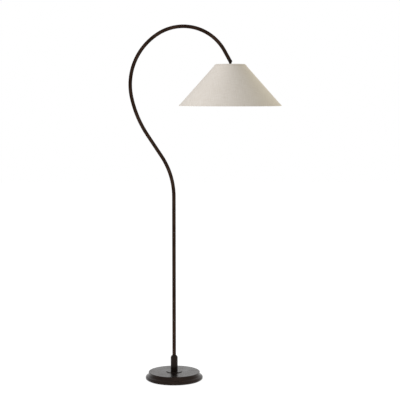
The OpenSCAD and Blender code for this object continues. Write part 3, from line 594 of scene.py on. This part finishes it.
# %% Outline of a tape
ARM_ANGLES = [math.pi + i * 2 * math.pi / 3 for i in range(3)]
SLIT = wire_r + 0.8 * MM
SLIT_KEEP = 0.56
TAPE_POINTS = 40
STEP_DOWN = 2 * MM
LIFT_FADE = 3 * MM


def tape_outline(line, slit_keep):
    """Outline function of a tape. slit_keep is the share of its line that is left at an arm."""
    whole, slit = evenly(line, TAPE_POINTS), evenly(line, TAPE_POINTS, slit_keep)
    folded_at = TAPE_WIDTH / math.cos(shade_lean)

    def outline(share):
        angle = 2 * math.pi * share
        radius = whole[0][0].x
        near_arm = min(abs((angle - arm + math.pi) % (2 * math.pi) - math.pi)
                       for arm in ARM_ANGLES)
        points = slit if near_arm * whole[-1][0].x < SLIT else whole
        past_back = (angle - math.pi) * radius
        climb = (eased((past_back + LAP_RISE) / LAP_RISE)
                 * eased((LAP + STEP_DOWN - past_back) / STEP_DOWN))
        middle = []
        for point, distance in points:
            lift = climb * (LINEN + GLUE) * eased((folded_at + LIFT_FADE - distance) / LIFT_FADE)
            middle.append(point + lift * Vector((math.cos(shade_lean), math.sin(shade_lean))))
        sides = ([], [])
        for i, point in enumerate(middle):
            along = (middle[min(i + 1, len(middle) - 1)] - middle[max(i - 1, 0)]).normalized()
            across = Vector((-along.y, along.x)) * TAPE / 2
            for side, sign in zip(sides, (1, -1)):
                r, z = point + sign * across
                side.append(round_axis(r, angle, z))
        return sides[0] + sides[1][::-1]

    return outline


# %% Tapes on both rims
BOTTOM_WRAP = math.radians(180)
TOP_WRAP = math.radians(235)
bottom_line = tape_line("shade_bottom_ring", shade_bottom_z, 1, BOTTOM_WRAP)
top_line = tape_line("shade_fitter", shade_top_z, -1, TOP_WRAP)
bottom_tape = swept("bottom_tape", tape_outline(bottom_line, 1.0), ROUND_STEPS)
top_tape = swept("top_tape", tape_outline(top_line, SLIT_KEEP), ROUND_STEPS)
install(bottom_tape, tape_linen, "head", "linen_trim", "shade_bottom_trim")
install(top_tape, tape_linen, "head", "linen_trim", "shade_top_trim")

# %% [markdown]
# The skin was cut flat before it was rolled: a piece of a ring, whose two radii are the
# cone's slant distances from its tip.

# %% [markdown]
# ## The felt
#
# The pad under the base is cut from 2 mm wool felt with a round knife. Its edge is a little
# uneven, which two waves that never fall in step give it here, and its lower arris has worn
# round.

# %% Felt pad
felt_low, felt_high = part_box("base_felt")
felt_r = (felt_high.x - felt_low.x) / 2
FELT_ROUND = 0.6 * MM
FELT_STEPS = 240
ARRIS_POINTS = 5
UNEVEN = 0.12 * MM


def felt_outline(share):
    """Half-section of the pad from its middle below, round the edge, to its middle on top."""
    angle = 2 * math.pi * share
    waves = 0.6 * math.sin(11 * angle) + 0.4 * math.sin(29 * angle + 1)
    edge = felt_r - UNEVEN * (1 + waves)
    section = [(0, felt_low.z), (edge / 2, felt_low.z)]
    for i in range(ARRIS_POINTS):
        turn = math.pi / 2 * i / (ARRIS_POINTS - 1)
        section.append((edge - FELT_ROUND * (1 - math.sin(turn)),
                        felt_low.z + FELT_ROUND * (1 - math.cos(turn))))
    section += [(edge, felt_high.z), (edge / 2, felt_high.z), (0, felt_high.z)]
    return [round_axis(r, angle, z, middle_x=0) for r, z in section]


felt_pad = swept("felt_pad", felt_outline, FELT_STEPS)
install(felt_pad, pressed_felt, "stand", "felt", "base_felt")

# %% [markdown]
# ## The rolled threads
#
# A bulb's cap and its socket's screw shell are sheet metal, rolled to a round thread of seven
# turns to the inch. Both follow the same wave, so the bulb sits in the socket as if screwed
# home. The cap has a plain collar next to the glass and draws in towards its insulator. The
# shell is a cup with a hole in its floor for the centre contact, and a plain mouth.

# %% The thread's wave
THREAD_PITCH = 25.4 / 7 * MM
THREAD_DEPTH = 0.8 * MM
THREAD_PLAY = 0.35 * MM
RUN_OUT = 2 * MM
THREAD_STEPS = 96
CAP_SHEET = 0.3 * MM
CAP_DRAWN_IN = 1.1 * MM
SHELL_SHEET = 0.4 * MM
SHELL_FLOOR_ROUND = 1 * MM
COLLAR = 4.5 * MM
CONTACT_HOLE_R = 5.0 * MM

cap_low, cap_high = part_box("bulb_cap")
crest_r = (cap_high.x - cap_low.x) / 2
cup_low, cup_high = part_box("holder_screw_shell")


def hollow(z, angle):
    """Depth below the crest of a right-handed rolled thread."""
    return THREAD_DEPTH * (0.5 - 0.5 * math.cos(2 * math.pi * z / THREAD_PITCH - angle))


def heights(low, high, step=0.4 * MM):
    """Even heights from low to high, about a step apart."""
    count = round((high - low) / step)
    return [low + (high - low) * i / count for i in range(count + 1)]


# %% The bulb's cap
def cap_outline(share):
    """Section through the cap's sheet: its outer face upwards, then its inner face down."""
    angle = 2 * math.pi * share
    outer, inner = [], []
    for z in heights(cap_low.z, cap_high.z):
        threaded = eased((z - cap_low.z - COLLAR) / RUN_OUT)
        drawn_in = eased((z - cap_high.z + RUN_OUT) / RUN_OUT) * CAP_DRAWN_IN
        r = crest_r - threaded * max(hollow(z, angle), drawn_in)
        outer.append(round_axis(r, angle, z))
        inner.append(round_axis(r - CAP_SHEET, angle, z))
    return outer + inner[::-1]


threaded_cap = swept("threaded_cap", cap_outline, THREAD_STEPS)
install(threaded_cap, bulb_metal, "head", "bulb_metal", "bulb_cap")


# %% The socket's screw shell
def shell_outline(share):
    """Section through the shell: outer face upwards, floor inwards, and back down inside."""
    angle = 2 * math.pi * share
    outer, inner = [], []
    for z in heights(cup_low.z, cup_high.z - SHELL_SHEET):
        threaded = (eased((z - cup_low.z) / RUN_OUT)
                    * eased((cup_high.z - SHELL_FLOOR_ROUND - z) / RUN_OUT))
        r = crest_r + THREAD_PLAY - threaded * hollow(z, angle)
        outer.append(round_axis(r + SHELL_SHEET, angle, z))
        inner.append(round_axis(r, angle, z))
    cup_floor = [round_axis(crest_r, angle, cup_high.z),
                 round_axis(CONTACT_HOLE_R, angle, cup_high.z),
                 round_axis(CONTACT_HOLE_R, angle, cup_high.z - SHELL_SHEET)]
    return outer + cup_floor + inner[::-1]


screw_shell = swept("screw_shell", shell_outline, THREAD_STEPS)
install(screw_shell, rolled_brass, "head", "brass", "holder_screw_shell")

# %% [markdown]
# ## The studio
#
# The lamp is photographed against white. A pale floor runs far back, and everything beyond
# it is white too. To the camera and in reflections both are plain white. The floor gets there
# in two parts: a fifth of the light that falls on it comes back, which is the part that
# carries the lamp's shadow, and a glow adds the rest. The sum is just white and no more,
# because a floor brighter than white would eat into the edges of the thin pole in front of it.
# What the floor throws up onto the lamp isn't touched by this: there it is pale paper.
#
# The room gives an even light from all sides. A large, slightly cool soft box stands at the
# front left, half way round to the shade's side, so the linen is brightest there and keeps
# that brightness up to its left edge. A weaker, slightly warm one stands on the right and a
# little behind, and lifts the other edge.

# %% What the camera sees of floor and room
ROOM_LIGHT = 0.44
PALE_PAPER = 0.8
SHADOW_SHARE = 0.2
FLOOR_GLOW = 0.92
FLOOR_REACH = 12.0


def shown_plainly(material):
    """1 for what the camera sees, in a mirror or through glass too, and 0 for light on its way."""
    ray = add_node(material, "ShaderNodeLightPath")
    share = ray.outputs["Is Camera Ray"]
    for kind in ("Is Glossy Ray", "Is Transmission Ray"):
        share = add_node(material, "ShaderNodeMath", {0: share, 1: ray.outputs[kind]},
                         operation="MAXIMUM")
    return share


# %% The floor
floor_mesh = bpy.data.meshes.new("studio_floor")
corners = [(-1, -1), (1, -1), (1, 1), (-1, 1)]
floor_mesh.from_pydata([(x * FLOOR_REACH, y * FLOOR_REACH, 0) for x, y in corners],
                       [], [(0, 1, 2, 3)])
floor = bpy.data.objects.new("studio_floor", floor_mesh)
bpy.context.scene.collection.objects.link(floor)
paper, paper_surface = new_finish("white_studio_paper", "#ffffff", 1.0, Specular_IOR_Level=0.0)
shown = shown_plainly(paper)
add_node(paper, "ShaderNodeMath", {0: shown, 1: FLOOR_GLOW}, operation="MULTIPLY",
         feeds=paper_surface.inputs["Emission Strength"])
add_node(paper, "ShaderNodeMapRange",
         {"Value": shown, "To Min": PALE_PAPER, "To Max": SHADOW_SHARE},
         feeds=paper_surface.inputs["Base Color"])
paper_surface.inputs["Emission Color"].default_value = (1, 1, 1, 1)
floor_mesh.materials.append(paper)

# %% The room
room = bpy.data.worlds.new("studio_room")
bpy.context.scene.world = room
room.use_nodes = True
sky = room.node_tree.nodes["Background"]
sky.inputs["Color"].default_value = (1, 1, 1, 1)
add_node(room, "ShaderNodeMapRange",
         {"Value": shown_plainly(room), "To Min": ROOM_LIGHT, "To Max": 1.0},
         feeds=sky.inputs["Strength"])
print("floor and room ready")


# %% [markdown]
# A soft box that is seen in the lacquer draws a hard bright bar along the tube, and the
# photograph has none: there the tube mirrors only the pale room. So both soft boxes light the
# lamp but are left out of its reflections.

# %% Lamps
def soft_lamp(name, place, aim, size, watts, colour):
    """A square soft box that faces a point."""
    light = bpy.data.lights.new(name, "AREA")
    light.size = size
    light.energy = watts
    light.color = linear(colour)[:3]
    lamp = bpy.data.objects.new(name, light)
    lamp.visible_glossy = False
    bpy.context.scene.collection.objects.link(lamp)
    lamp.location = place
    lamp.rotation_euler = (Vector(aim) - Vector(place)).to_track_quat("-Z", "Y").to_euler()
    return lamp


shade_middle = (axis_x, 0, (shade_top_z + shade_bottom_z) / 2)
key = soft_lamp("key_soft_box", place=(-3.3, -2.85, 2.1), aim=shade_middle, size=2.2,
                watts=173, colour="#edf0ff")
fill = soft_lamp("fill_soft_box", place=(3.65, 1.3, 1.8), aim=shade_middle, size=1.8,
                 watts=76, colour="#fffaea")
print("lamps:", key.name, key.data.energy, fill.name, fill.data.energy)

# %% [markdown]
# ## The camera
#
# The photograph is taken from 5.25 m, at the height of the shade and tipped down by five
# degrees, which the flat ellipses of base and shade give away. The picture is square, and
# the lens follows from the lamp's height in it.

# %% Camera
FILM_WIDTH = 36
LENS = 106.2
CAMERA_PLACE = (0.1166, -5.249, 1.2801)
TIPPED_DOWN = math.radians(5.085)
camera = bpy.data.objects.new("camera", bpy.data.cameras.new("camera"))
bpy.context.scene.collection.objects.link(camera)
camera.data.sensor_width = FILM_WIDTH
camera.data.lens = LENS
camera.location = CAMERA_PLACE
camera.rotation_euler = (math.pi / 2 - TIPPED_DOWN, 0, 0)
bpy.context.scene.camera = camera
bpy.context.scene.view_settings.view_transform = "Standard"
print("lens", LENS, "mm at", CAMERA_PLACE)
